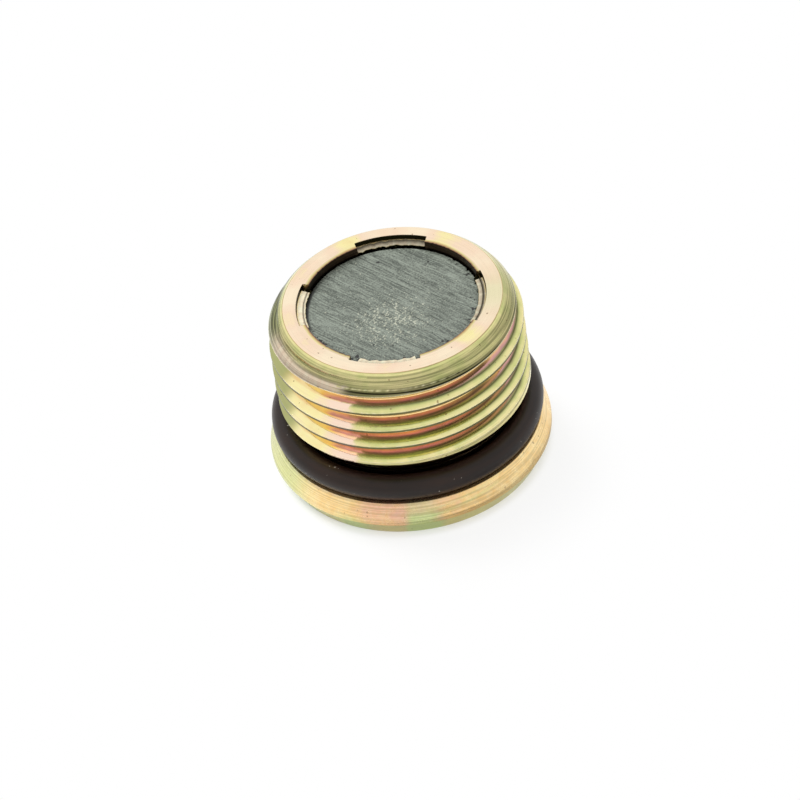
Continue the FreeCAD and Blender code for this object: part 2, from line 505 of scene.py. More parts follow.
    def thread_values(self, angle: np.ndarray, level: np.ndarray, height: np.ndarray, radius: np.ndarray,
                      over_cone: np.ndarray) -> np.ndarray:
        """Finish of the thread: film colour, pale lips, painted highlights and shade, roughness and tool
        lines.

        The film drifts from green near the crest through rose to gold in the groove, and is nearly uniform
        cream on the left, partly film colour and partly a painted reflection.

        Args:
            angle: Angles round the axis.
            level: Heights on the true helix.
            height: Heights on the plug.
            radius: Radii.
            over_cone: How far the thread would stand over the nose's cones.

        Returns:
            Finish values, shaped (rows, columns, 7).
        """
        distance, _ = self.groove_turns(angle, level)
        crest_half = self.pitch * self.crest_flat_share / 2
        over_crest = np.where(distance < 0, 1, -1) * (self.pitch / 2 - np.abs(distance))
        depth = np.clip((self.thread_radius - radius) / (self.pitch * self.depth_share), 0, 1)
        azimuth = np.degrees(angle_from(angle, FRONT))
        ragged = round_noise(angle + 2 * height, 19, 12, 60)
        # On the left the flanks switch to cream film: partly film colour, partly a painted reflection.
        left = smooth_step(azimuth + 0.6 * ragged, -25.5, -28.5) + smooth_step(azimuth, 105, 125)
        switch = smooth_step(azimuth, -31.0, -34.0) + smooth_step(azimuth, 105, 125)
        deep = smooth_step(depth, 0.52, 0.60)
        deep_left = smooth_step(azimuth, -38, -46)
        front_shallow = np.interp(depth, [0.0, 0.22, 0.30, 0.60], [0.98, 0.96, 0.90, 0.88])
        left_shallow = 0.11 + 0.13 * smooth_step(azimuth, -39, -48) + 0.12 * smooth_step(azimuth, -64, -70)
        front_deep = np.interp(depth, [0.52, 0.62, 0.74, 0.86, 0.96], [0.80, 0.70, 0.64, 0.55, 0.42])
        shallow = front_shallow * (1 - switch) + left_shallow * switch
        film = shallow * (1 - deep) + (front_deep * (1 - deep_left) + 0.37 * deep_left) * deep
        # Pale crest lips: worn plating and painted highlight lines along the crest edges, less at the far
        # left.
        lip = np.exp(-((over_crest - crest_half + 0.004) / 0.024) ** 2)
        paler_tone = np.clip(0.60 + 0.35 * round_noise(angle + height, 13, 40, 150), 0, 1)
        wear_and_painted_highlight = lip * paler_tone * (1 - 0.7 * smooth_step(azimuth, -62, -76))
        # Painted highlight: a bright line along the lead cone's lower edge.
        painted_cone_edge_highlight = np.exp(-(over_cone / 0.08) ** 2) * (over_crest < 0)
        painted_cone_edge_highlight = painted_cone_edge_highlight * smooth_step(height, self.height - 0.85, self.height - 0.95)
        # Painted shade: darker at the far left, on the flank undersides in front and on the crest flats,
        # less on the lowest crest.
        far_left = smooth_step(azimuth, -62, -72) * smooth_step(azimuth, -150, -120)
        underside_painted_shade = 0.64 + 0.22 * smooth_step(azimuth, -5, 15)
        underside_painted_shade = underside_painted_shade * (1 - left) * smooth_step(depth, 0.30, 0.45) * smooth_step(depth, 0.62, 0.5)
        marks_and_painted_shade = 0.30 * far_left + underside_painted_shade
        crest = smooth_step(over_crest, -0.13, -0.09) * smooth_step(over_crest, 0.075, 0.045)
        marks_and_painted_shade = np.maximum(marks_and_painted_shade, crest * (0.40 + 0.45 * smooth_step(height, 6.3, 6.7)))
        on_lead = smooth_step(height, self.height - 1.80, self.height - 1.55)
        on_lead = on_lead * np.where(over_crest < 0, smooth_step(over_cone, -0.08, 0.0), 1.0)
        # Painted highlight band on the lower left of the lead cone.
        nose_left = smooth_step(azimuth + 4 * ragged, -27, -33) * smooth_step(azimuth, -96, -78)
        nose_left = nose_left * smooth_step(height, self.height - 0.70, self.height - 0.95)
        film = film * (1 - on_lead) + 0.97 * on_lead
        # Painted highlight: a short bright stroke on the thread near the nose, in front.
        over_burr = height - 12.22 + 0.12 * (azimuth - 1.5)
        painted_burr_glint = np.exp(-((azimuth - 1.5) / 1.6) ** 2 - (over_burr / 0.06) ** 2)
        wear_and_painted_highlight = np.maximum(0.75 * wear_and_painted_highlight * (1 - on_lead), np.maximum(painted_burr_glint, 0.9 * painted_cone_edge_highlight * on_lead))
        # Painted shade on the lead cone: darker low in front and at the far left, except along a painted
        # highlight band low in front.
        ahead = smooth_step(azimuth, -34, -26)
        low_lead = smooth_step(height, self.height - 0.80, self.height - 0.98) * ahead
        painted_highlight_band = np.exp(-((height - self.height + 0.92) / 0.045) ** 2) * ahead
        painted_highlight_band = painted_highlight_band * np.clip(0.45 + 0.25 * round_noise(angle, 53, 60, 160), 0, 1)
        painted_highlight_band = painted_highlight_band * smooth_step(azimuth, 40, 12)
        nose_painted_shade = 0.30 + 0.45 * low_lead + 0.25 * smooth_step(azimuth, -74, -92)
        marks_and_painted_shade = marks_and_painted_shade * (1 - on_lead) + nose_painted_shade * on_lead * (1 - painted_cone_edge_highlight) * (1 - painted_highlight_band)
        wear_and_painted_highlight = np.maximum(wear_and_painted_highlight, 0.55 * painted_highlight_band * on_lead)
        nose_painted_highlight = np.clip(0.22 + 0.16 * round_noise(angle, 57, 40, 160), 0, 1)
        wear_and_painted_highlight = np.maximum(wear_and_painted_highlight, nose_left * on_lead * nose_painted_highlight)
        hazy = (1 - left) * (1 - deep) * (1 - on_lead) * smooth_step(azimuth, -5, -22)
        satin = 0.08 + 0.10 * on_lead + 0.40 * lip + 0.11 * hazy
        tool = 0.10 + 0.90 * on_lead
        # Cream: partly film colour with a painted reflection on the left flanks, and a painted highlight on
        # the lower left of the lead cone.
        cream = left * smooth_step(azimuth, -41, -36) * (1 - deep) * (1 - on_lead)
        cream = cream + 0.85 * nose_left * on_lead
        moss = 0.75 * far_left * (1 - on_lead) + 0.55 * smooth_step(azimuth, -74, -92) * on_lead
        return np.stack(np.broadcast_arrays(film, wear_and_painted_highlight, marks_and_painted_shade, satin, tool, cream, moss), axis=-1)

    def lathe_values(self, count: int, film: Sequence[float], wear_and_painted_highlight: Sequence[float],
                     marks_and_painted_shade: Sequence[float], satin: Sequence[float], tool: float = 0.2) -> np.ndarray:
        """Finish values that change only along the rows, spread over all columns."""
        rows = np.linspace(0, 1, count)
        courses = (film, wear_and_painted_highlight, marks_and_painted_shade, satin, [tool], [0.0], [0.0])
        stack = [np.interp(rows, np.linspace(0, 1, len(course)), course) for course in courses]
        values = np.stack(stack, axis=-1)
        return np.broadcast_to(values[:, None, :], (count, self.angles.size, len(Skin.VALUES))).copy()

    def socket_grid(self) -> tuple[np.ndarray, np.ndarray]:
        """Hexagon socket from its flat floor out to the countersunk mouth.

        The wall's radius is half the flats over the cosine of the angle from the
        nearest flat's middle.
        """
        half = self.socket_flats / 2
        off_flat = (self.angles + math.pi / 6) % (math.pi / 3) - math.pi / 6
        hexagon = half / np.cos(off_flat)
        corner = half / math.cos(math.pi / 6)
        mouth_radius = corner + self.socket_mouth
        rows: list[tuple[np.ndarray | float, np.ndarray | float]] = []
        for share in np.linspace(0, 1, 5):
            rows.append((half * share, self.socket_depth))
        rows.append((half + (hexagon - half) * 0.97, self.socket_depth))
        rows.append((hexagon, self.socket_depth - 0.03))
        mouth_height = mouth_radius - hexagon
        for share in spaced(0, 1, 6):
            rows.append((hexagon, (self.socket_depth - 0.03) * (1 - share) + mouth_height * share))
        for share in spaced(0, 1, 3):
            rows.append((hexagon + (mouth_radius - hexagon) * share, mouth_height * (1 - share)))
        radius = np.stack([np.broadcast_to(r, self.angles.shape) for r, _ in rows])
        height = np.stack([np.broadcast_to(h, self.angles.shape) for _, h in rows])
        points = around(radius, height, self.angles[None, :])
        # Darker towards the socket's floor: painted shade in the recess.
        values = self.lathe_values(len(rows), [0.3, 0.4, 0.3], [0.0, 0.0], [0.8, 0.5, 0.1], [0.35, 0.3])
        return points, values

    def head_grid(self) -> tuple[np.ndarray, np.ndarray]:
        """Head's flat face, chamfer, rim, seal face, neck and the start of the relief cone."""
        mouth = self.socket_flats / 2 / math.cos(math.pi / 6) + self.socket_mouth
        rim_start = self.head_chamfer_height
        rim_end = rim_start + self.rim_land_height
        bottom_cone = self.neck_radius + (self.thread_bottom - self.neck_top) * self.relief_slope
        outline = Outline.rounded([
            (mouth, 0.0, 0),
            (self.flange_radius - self.head_chamfer_in, 0.0, 0.15),
            (self.flange_radius, rim_start, 0.25),
            (self.flange_radius, rim_end, 0.30),
            (self.flange_radius - self.rim_taper_in, self.seal_face, self.rim_corner_radius),
            (self.neck_radius, self.seal_face, 0.15),
            (self.neck_radius, self.neck_top, 0.2),
            (bottom_cone, self.thread_bottom, 0),
        ], 5, [8, 6, 2, 10, 4, 4, 3])
        radius = np.array(outline.radii)[:, None]
        height = np.array(outline.heights)[:, None]
        angle = self.angles[None, :]
        radius, height, angle = np.broadcast_arrays(radius, height, angle)
        on_rim = smooth_step(radius, self.flange_radius - 1.0, self.flange_radius - 0.8)
        knock = np.zeros_like(radius)
        for dent in self.dents:
            across = angle_from(angle, FRONT + math.radians(dent.azimuth)) * self.flange_radius
            far = (across ** 2 + (height - dent.height) ** 2) / dent.width ** 2
            knock = knock + dent.depth * np.exp(-far)
        radius = radius - knock * on_rim
        values = self.lathe_values(radius.shape[0], [0.4], [0.0], [0.0], [0.22])
        values[..., 0] = self.rim_film(angle, height)
        azimuth = np.degrees(angle_from(angle, FRONT))
        band = smooth_step(height, self.head_chamfer_height, self.head_chamfer_height + 0.1)
        tool_mark = np.exp(-((height - 2.05) / 0.05) ** 2)
        tool_mark = tool_mark * smooth_step(azimuth, 0, 8) * smooth_step(azimuth, 45, 30)
        # Painted highlight: a pale gold line along the seal face's outer corner on the left.
        corner = np.exp(-((height - self.seal_face + 0.03) / 0.045) ** 2) * on_rim
        paler_tone = smooth_step(azimuth, -92, -80) * smooth_step(azimuth, -24, -34)
        values[..., 0] = values[..., 0] * (1 - corner * paler_tone) + 0.45 * corner * paler_tone
        values[..., 1] = on_rim * band * 0.10 + 0.18 * corner * paler_tone
        values[..., 4] = 0.2 + 0.5 * on_rim * band
        values[..., 6] = self.rim_moss(azimuth, height) * on_rim
        # Painted shade: the seal face, neck and relief cone inside the flange, under the ring, are darkened.
        inner = smooth_step(radius, self.flange_radius - 1.0, self.flange_radius - 2.2)
        raised = smooth_step(height, 0.5, 1.2)
        values[..., 2] = 0.85 * inner * raised + on_rim * 0.35 * tool_mark
        return around(radius, height, angle), values

    def rim_film(self, angle: np.ndarray, height: np.ndarray) -> np.ndarray:
        """Film colour of the flange, which drifts round the axis from gold to pink."""
        azimuth = np.degrees(angle_from(angle, FRONT))
        places = [-180, -100, -58, -34, -24, -4, 8, 22, 75, 110, 180]
        films = [0.30, 0.34, 0.38, 0.42, 0.56, 0.58, 0.47, 0.41, 0.38, 0.40, 0.30]
        return np.interp(azimuth + 1.5 * np.sin(4 * height), places, films)

    def rim_moss(self, azimuth: np.ndarray, height: np.ndarray) -> np.ndarray:
        """Green on the flange: at the far left, in a patch in front, and in lines to the right of it."""
        far = 0.75 * smooth_step(azimuth, -46, -66) * smooth_step(azimuth, -150, -110)
        low = 0.45 + 0.50 * smooth_step(height, 2.3, 1.8)
        patch = low * smooth_step(azimuth, -9, -5) * smooth_step(azimuth, 10, 1)
        along = 1.75 + 0.018 * azimuth
        line = np.exp(-((height - along) / 0.10) ** 2) + 0.7 * np.exp(-((height - along - 0.42) / 0.09) ** 2)
        trail = 0.45 * line * smooth_step(azimuth, 0, 6) * smooth_step(azimuth, 44, 24)
        lower_left = 0.55 * np.exp(-((azimuth + 31) / 6) ** 2) * smooth_step(height, 1.9, 1.4)
        chamfer = 0.6 * smooth_step(height, 1.28, 1.20)
        return np.clip(far + patch + trail + lower_left + chamfer, 0, 0.95)

    def nose_grid(self) -> tuple[np.ndarray, np.ndarray]:
        """Bevel's edge, flat land, punched stakes, pocket wall and pocket floor.

        Each column's outline is a plain one between the stakes and a punched one at
        a stake, and the two are blended over a third of a degree at the stake's ends.
        """
        angle = self.angles
        wall = self.pocket_radius
        top, disc = self.height, self.disc_top
        inside, notch, ragged = np.zeros_like(angle), np.zeros_like(angle), np.zeros_like(angle)
        silver, painted_stake_shade, shade_line_place = np.zeros_like(angle), np.zeros_like(angle), np.full_like(angle, -1.0)
        punched = np.full_like(angle, wall + self.punch_width)
        tip = np.full_like(angle, wall - self.lip_reach)
        sunk = np.full_like(angle, self.wall_depth)
        for stake in self.stakes:
            off = angle_from(angle, FRONT + math.radians(stake.middle))
            half = math.radians(stake.width / 2)
            soft = math.radians(0.3)
            share = smooth_step(np.abs(off), half + soft, half - soft)
            near = np.abs(off) < half + math.radians(2.0)
            low, high = -half + math.radians(stake.notch_before), half - math.radians(stake.notch_after)
            open_end = np.maximum(smooth_step(off, low + soft, low - soft),
                                  smooth_step(off, high - soft, high + soft))
            inside = np.maximum(inside, share)
            notch = np.where(near, open_end, notch)
            ragged = np.where(near, stake.ragged, ragged)
            silver, painted_stake_shade = np.where(near, stake.silver, silver), np.where(near, stake.painted_stake_shade, painted_stake_shade)
            shade_line_place = np.where(near, stake.shade_line_place, shade_line_place)
            punched, tip = np.where(near, stake.outer, punched), np.where(near, stake.tip, tip)
            sunk = np.where(near, stake.sunk, sunk)
        rough_tip = ragged * (0.018 * round_noise(angle, 3, 60, 140) + 0.026 * round_noise(angle, 5, 20, 60))
        rough_floor = ragged * 0.012 * round_noise(angle, 8, 40, 110)
        edge_nick = 0.020 * np.clip(round_noise(angle, 17, 50, 150), 0, 3)
        foot, end = top - sunk, top - sunk - 0.10
        inner, run = punched - 0.08, tip + 0.06 - (punched - 0.08)
        land = self.land_radius
        outer_rows = [
            (land + 0.12, top - 0.12), (land + 0.03, top - 0.03), (land + 0.004, top - 0.008),
            (land - 0.025, top), (land - 0.25, top),
        ]
        plain = outer_rows + [
            (7.10, top), (6.98, top), (6.80, top), (6.62, top), (wall + 0.12, top),
            (wall + 0.035, top - 0.002), (wall + 0.012, top - 0.012), (wall, top - 0.04), (wall, top - 0.12),
            (wall, top - 0.22), (wall, top - 0.32), (wall, top - 0.40), (wall, top - 0.46),
            (wall, top - 0.50), (wall, top - 0.55), (wall, top - 0.60), (wall, disc),
            (wall, disc - 0.2), (wall, self.pocket_floor),
            (0.5 * wall, self.pocket_floor), (0.0, self.pocket_floor),
        ]
        stake_rows = outer_rows + [
            (punched + 0.15, top), (punched + 0.045, top - 0.002), (punched + 0.015, top - 0.015),
            (punched, top - 0.05), (punched - 0.01, foot + 0.08), (punched - 0.03, foot + 0.02),
            (inner, foot), (inner + 0.2 * run, foot - 0.01), (inner + 0.4 * run, foot - 0.02),
            (inner + 0.6 * run, foot - 0.035), (inner + 0.8 * run, foot - 0.05),
            (inner + run, foot - 0.07), (tip, end), (tip + 0.02, end - 0.04),
            (tip + 0.03, end - 0.08), (tip + 0.04, disc + 0.07), (tip + 0.05, disc + 0.02),
            (wall, disc - 0.2),
            (wall, self.pocket_floor), (0.5 * wall, self.pocket_floor), (0.0, self.pocket_floor),
        ]
        plain_rows = np.array(plain)[:, :, None]
        punched_radius = np.stack([np.broadcast_to(r, angle.shape) for r, _ in stake_rows])
        punched_height = np.stack([np.broadcast_to(h, angle.shape) for _, h in stake_rows])
        count = punched_radius.shape[0]
        blend = inside[None, :]
        in_notch = np.interp(np.arange(count), [8, 10, 20, 21], [0, 1, 1, 0])[:, None] * notch[None, :]
        punched_height = punched_height * (1 - in_notch) + np.minimum(punched_height, disc + 0.08) * in_notch
        radius = plain_rows[:, 0] * (1 - blend) + punched_radius * blend
        height = plain_rows[:, 1] * (1 - blend) + punched_height * blend
        row = np.arange(count)[:, None]
        tip_share = np.interp(row, [12, 15, 18, 21, 22], [0, 0.3, 1, 1, 0])
        radius = radius + tip_share * np.clip(rough_tip, -0.08, 0.08)[None, :]
        floor_share = np.interp(row, [9, 11, 17, 20], [0, 1, 1, 0])
        height = height + floor_share * rough_floor[None, :]
        inner_edge = np.interp(row, [8, 10, 13, 16], [0, 1, 1, 0]) * (1 - blend)
        radius = radius + inner_edge * edge_nick[None, :]
        outer_edge = np.interp(row, [0, 2, 4], [0, 1, 0])
        radius = radius - outer_edge * 0.008 * np.clip(round_noise(angle, 23, 40, 140), 0, 3)[None, :]
        first_radius = np.full((1, angle.size), self.land_radius + self.height - self.thread_top)
        first_height = np.full((1, angle.size), self.thread_top)
        radius = np.concatenate([first_radius, radius])
        height = np.concatenate([first_height, height])
        values = self.lathe_values(count + 1, [0.3], [0.0], [0.0], [0.2])
        row = np.arange(count + 1)[:, None]
        on_land = np.interp(row, [2, 4, 9, 11], [0, 1, 1, 0])
        on_ledge = np.interp(row, [11, 13, 17, 19], [0, 1, 1, 0]) * blend
        off_land = np.where(row < 4, 0.95, 0.62) * (1 - on_land) * (1 - on_ledge)
        values[..., 0] = self.land_film(angle)[None, :] * on_land + off_land
        azimuth = np.degrees(angle_from(angle, FRONT))[None, :]
        across = np.interp(row, [12, 17], [0, 1])
        bright = silver + 0.25 * round_noise(angle, 29, 30, 120) + (0.5 * painted_stake_shade + 0.2) * (across - 0.5)
        painted_shade_line = np.exp(-((across - shade_line_place) / 0.12) ** 2)
        values[..., 1] = on_ledge * (1 - notch) * np.clip(bright, 0, 1) * (1 - 0.8 * painted_shade_line)
        values[..., 6] = on_land * 0.32 * np.exp(-((azimuth - 84) / 16) ** 2)
        # Painted shade: the gap between land and disc, the hollow under each lip and each punched wall are
        # darkened.
        in_gap = np.interp(row, [9, 12, 26], [0, 1, 1]) * (1 - blend)
        under_lip = np.interp(row, [17, 19, 26], [0, 1, 1]) * blend
        punch_wall = np.interp(row, [8, 9, 11, 12], [0, 1, 1, 0]) * blend
        # Painted shade on the ledges: deepest at the wall, in the open notches and along a line across the
        # ledge.
        ledge_painted_shade = on_ledge * np.clip(painted_stake_shade * (1.25 - 0.6 * across) + notch + 0.7 * painted_shade_line, 0, 1)
        values[..., 2] = np.clip(0.9 * in_gap + 1.0 * under_lip + 1.0 * punch_wall + ledge_painted_shade, 0, 1)
        values[..., 3] = 0.20 + 0.25 * on_ledge
        values[..., 4] = np.interp(row, [0, 2, 4], [1.0, 1.0, 0.15])
        return around(radius, height, angle[None, :]), values

    def land_film(self, angle: np.ndarray) -> np.ndarray:
        """Film colour of the flat land, in patches of cream, pink and pale green."""
        azimuth = np.degrees(angle_from(angle, FRONT))
        pink = np.exp(-((azimuth - 42) / 22) ** 2) + np.exp(-((np.abs(azimuth) - 150) / 26) ** 2)
        patches = 0.05 * round_noise(angle, 47, 3, 14)
        return 0.06 + 0.08 * pink + patches

    def build(self) -> bpy.types.Object:
        """Make the skin, ride it on the model's body and let it stand for the plug's node."""
        skin = Skin()
        skin.add_grid(*self.socket_grid())
        skin.add_grid(*self.head_grid())
        points, values, climb = self.thread_grid()
        skin.add_grid(points, values, climb)
        skin.add_grid(*self.nose_grid())
        thing = skin.to_object(self.name, math.radians(38))
        thing.data.materials.append(PlatedSteel().material())
        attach(thing, "root")
        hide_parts("plug_body")
        return thing


@dataclass
class Disc:
    """The ferrite disc, with small chips along its ground edge."""

    edge_radius: float = 0.06
    name: str = "magnet_skin"

    def __post_init__(self) -> None:
        """Read the disc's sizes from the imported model."""
        low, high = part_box("magnet")
        self.radius = high.x / MM
        self.bottom, self.top = low.z / MM, high.z / MM

    def build(self) -> bpy.types.Object:
        """Make the disc as a closed turned skin, with its edge broken by noise."""
        angle = np.arange(360) * TURN / 360
        edge = self.edge_radius
        radii = [0.0, 0.5, 1.0, 1.5, 2.0, 2.5, 3.0, 3.5, 4.0, 4.5, 5.0, 5.4, 5.7, 5.9, 6.0,
                 self.radius - 2 * edge]
        rows = [(r, self.top) for r in radii]
        rows += [(self.radius - edge * (1 - math.sin(t)), self.top - edge * (1 - math.cos(t)))
                 for t in np.linspace(0, math.pi / 2, 5)]
        rows += [(self.radius, self.top - share * (self.top - self.bottom))
                 for share in (0.05, 0.1, 0.3, 0.6, 0.99)]
        rows += [(self.radius - edge, self.bottom), (3.0, self.bottom), (0.0, self.bottom)]
        outline = np.array(rows[::-1])
        radius = np.repeat(outline[:, :1], angle.size, axis=1)
        height = np.repeat(outline[:, 1:], angle.size, axis=1)
        crumbs = 0.25 * np.clip(round_noise(angle, 37, 60, 160), 0, 2)
        chips = np.clip(round_noise(angle, 31, 20, 110) - 0.9, 0, 1.2) + crumbs
        side = np.degrees(angle_from(angle, FRONT))
        chips = chips * (0.15 + 0.85 * np.exp(-((side - 85) / 35) ** 2)
                         + 0.85 * np.exp(-((side + 45) / 35) ** 2))
        at_edge = smooth_step(radius, self.radius - 0.35, self.radius - 0.05)
        at_edge = at_edge * smooth_step(height, self.top - 0.6, self.top - 0.1)
        radius = radius - at_edge * 0.10 * chips
        height = height - at_edge * 0.10 * chips
        skin = Skin()
        values = np.zeros(radius.shape + (len(Skin.VALUES),))
        # Painted shade: a dark band along the disc's left edge, in the gap to the pocket wall; chips are
        # darkened too.
        gap = np.exp(-((side + 102) / 26) ** 4) * smooth_step(radius, 5.90, 6.02)
        values[..., 2] = np.maximum(at_edge * np.clip(chips, 0, 1), 0.95 * gap)
        skin.add_grid(around(radius, height, angle[None, :]), values)
        thing = skin.to_object(self.name, math.radians(40))
        thing.data.materials.append(Ferrite().material())
        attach(thing, "root")
        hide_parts("magnet")
        return thing


@dataclass
class SealRing:
    """The rubber ring, round in section, with the faint swell of a moulded part."""

    columns: int = 320
    rows: int = 56
    name: str = "seal_ring_skin"

    def __post_init__(self) -> None:
        """Read the ring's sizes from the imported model."""
        low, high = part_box("seal_ring")
        self.section = (high.z - low.z) / MM / 2
        self.centre_radius = high.x / MM - self.section
        self.centre_height = (high.z + low.z) / MM / 2

    def build(self) -> bpy.types.Object:
        """Make the ring: a circle of the section's radius carried round the axis."""
        angle = np.arange(self.columns) * TURN / self.columns
        around_section = np.linspace(-math.pi, math.pi, self.rows + 1)[:, None]
        swell = 1 - 0.004 * np.clip(round_noise(angle, 41, 4, 24), 0, 2)[None, :]
        radius = self.centre_radius + self.section * swell * np.cos(around_section)
        height = self.centre_height + self.section * swell * np.sin(around_section)
        skin = Skin()
        skin.add_grid(around(radius, height, angle[None, :]), np.zeros(radius.shape + (len(Skin.VALUES),)))
        thing = skin.to_object(self.name, math.radians(60))
        thing.data.materials.append(SealRubber().material())
        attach(thing, "root")
        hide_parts("seal_ring")
        return thing


class Term:
    """A shader socket that takes part in Python expressions."""

    def __init__(self, shader: "Shader", socket: bpy.types.NodeSocket) -> None:
        """Wrap one output socket of a shader."""
        self.shader = shader
        self.socket = socket

    def _join(self, operation: str, first: Any, second: Any) -> "Term":
        """A Math node of two values."""
        node = self.shader.node("ShaderNodeMath", {"operation": operation}, {0: first, 1: second})
        return Term(self.shader, node.outputs[0])

    def __add__(self, other: Any) -> "Term":
        """Sum."""
        return self._join("ADD", self, other)

    __radd__ = __add__

    def __mul__(self, other: Any) -> "Term":
        """Product."""
        return self._join("MULTIPLY", self, other)

    __rmul__ = __mul__

    def __sub__(self, other: Any) -> "Term":
        """Difference."""
        return self._join("SUBTRACT", self, other)

    def __rsub__(self, other: Any) -> "Term":
        """Difference, the other way round."""
        return self._join("SUBTRACT", other, self)

    def __truediv__(self, other: Any) -> "Term":
        """Quotient."""
        return self._join("DIVIDE", self, other)

    def __pow__(self, other: Any) -> "Term":
        """Power."""
        return self._join("POWER", self, other)

    def between(self, low: float, high: float) -> "Term":
        """0 at low and 1 at high, clamped and smooth between."""
        node = self.shader.node("ShaderNodeMapRange", {"interpolation_type": "SMOOTHSTEP"},
                                {"Value": self, "From Min": low, "From Max": high})
        return Term(self.shader, node.outputs["Result"])


class Shader:
    """A node tree that Python expressions fill."""

    def __init__(self, tree: bpy.types.NodeTree) -> None:
        """Take over a tree and clear it."""
        self.tree = tree
        tree.nodes.clear()

    def node(self, kind: str, settings: dict[str, Any] | None = None,
             sockets: dict[str | int, Any] | None = None) -> bpy.types.Node:
        """Any node: its settings first, then the values or links of its inputs.

        Args:
            kind: The node's type.
            settings: Properties such as a Math node's operation. stops is a ramp's
                list of (place, colour).
            sockets: Values or Terms by input name or number.

        Returns:
            The node.
        """
        made = self.tree.nodes.new(kind)
        for label, value in (settings or {}).items():
            if label == "stops":
                self._fill_ramp(made.color_ramp, value)
            else:
                setattr(made, label, value)
        for key, value in (sockets or {}).items():
            target = made.inputs[key]
            if isinstance(value, Term):
                self.tree.links.new(value.socket, target)
            else:
                target.default_value = value
        return made

    @staticmethod
    def _fill_ramp(ramp: bpy.types.ColorRamp, stops: Sequence[tuple[float, Colour]]) -> None:
        """Set a ramp's stops."""
        while len(ramp.elements) < len(stops):
            ramp.elements.new(0.5)
        for element, (place, colour) in zip(ramp.elements, stops):
            element.position = place
            element.color = (*colour, 1.0)

    def term(self, node: bpy.types.Node, output: str | int = 0) -> Term:
        """One output of a node as a Term."""
        return Term(self, node.outputs[output])

    def attribute(self, label: str) -> Term:
        """A value kept on the mesh."""
        return self.term(self.node("ShaderNodeAttribute", {"attribute_name": label}), "Fac")

    def noise(self, vector: Term, scale: float, detail: float = 2.0, rough: float = 0.5) -> Term:
        """Noise from about 0.2 to 0.8 at a number of features per unit of the vector."""
        made = self.node("ShaderNodeTexNoise", None,
                         {"Vector": vector, "Scale": scale, "Detail": detail, "Roughness": rough})
        return self.term(made, "Fac")

    def vector(self, x: Any, y: Any, z: Any) -> Term:
        """Three values as a vector."""
        return self.term(self.node("ShaderNodeCombineXYZ", None, {0: x, 1: y, 2: z}))

    def blend(self, factor: Any, first: Any, second: Any, mode: str = "MIX") -> Term:
        """Two colours mixed by a factor."""
        made = self.node("ShaderNodeMix", {"data_type": "RGBA", "blend_type": mode},
                         {0: factor, 6: first, 7: second})
        return self.term(made, 2)

    def ramp(self, value: Term, stops: Sequence[tuple[float, Colour]]) -> Term:
        """A colour from a ramp."""
        return self.term(self.node("ShaderNodeValToRGB", {"stops": stops}, {0: value}), "Color")

    def bump(self, height: Term, strength: float, distance: float, under: Term | None = None) -> Term:
        """A normal bent by a height field."""
        sockets: dict[str | int, Any] = {"Height": height, "Strength": strength, "Distance": distance}
        if under is not None:
            sockets["Normal"] = under
        return self.term(self.node("ShaderNodeBump", None, sockets))


@dataclass(frozen=True)
class TurnedPlaces:
    """Object coordinates, and the distance from the plug's axis."""

    place: Term
    x: Term
    y: Term
    z: Term
    radius: Term


def turned_places(shader: Shader) -> TurnedPlaces:
    """Coordinates for patterns that follow turned faces: place, its parts and the radius."""
    place = shader.term(shader.node("ShaderNodeTexCoord"), "Object")
    split = shader.node("ShaderNodeSeparateXYZ", None, {0: place})
    x, y, z = (shader.term(split, number) for number in range(3))
    return TurnedPlaces(place, x, y, z, (x * x + y * y) ** 0.5)


def rgba(colour: Colour) -> tuple[float, float, float, float]:
    """A colour with full alpha."""
    return (*colour, 1.0)


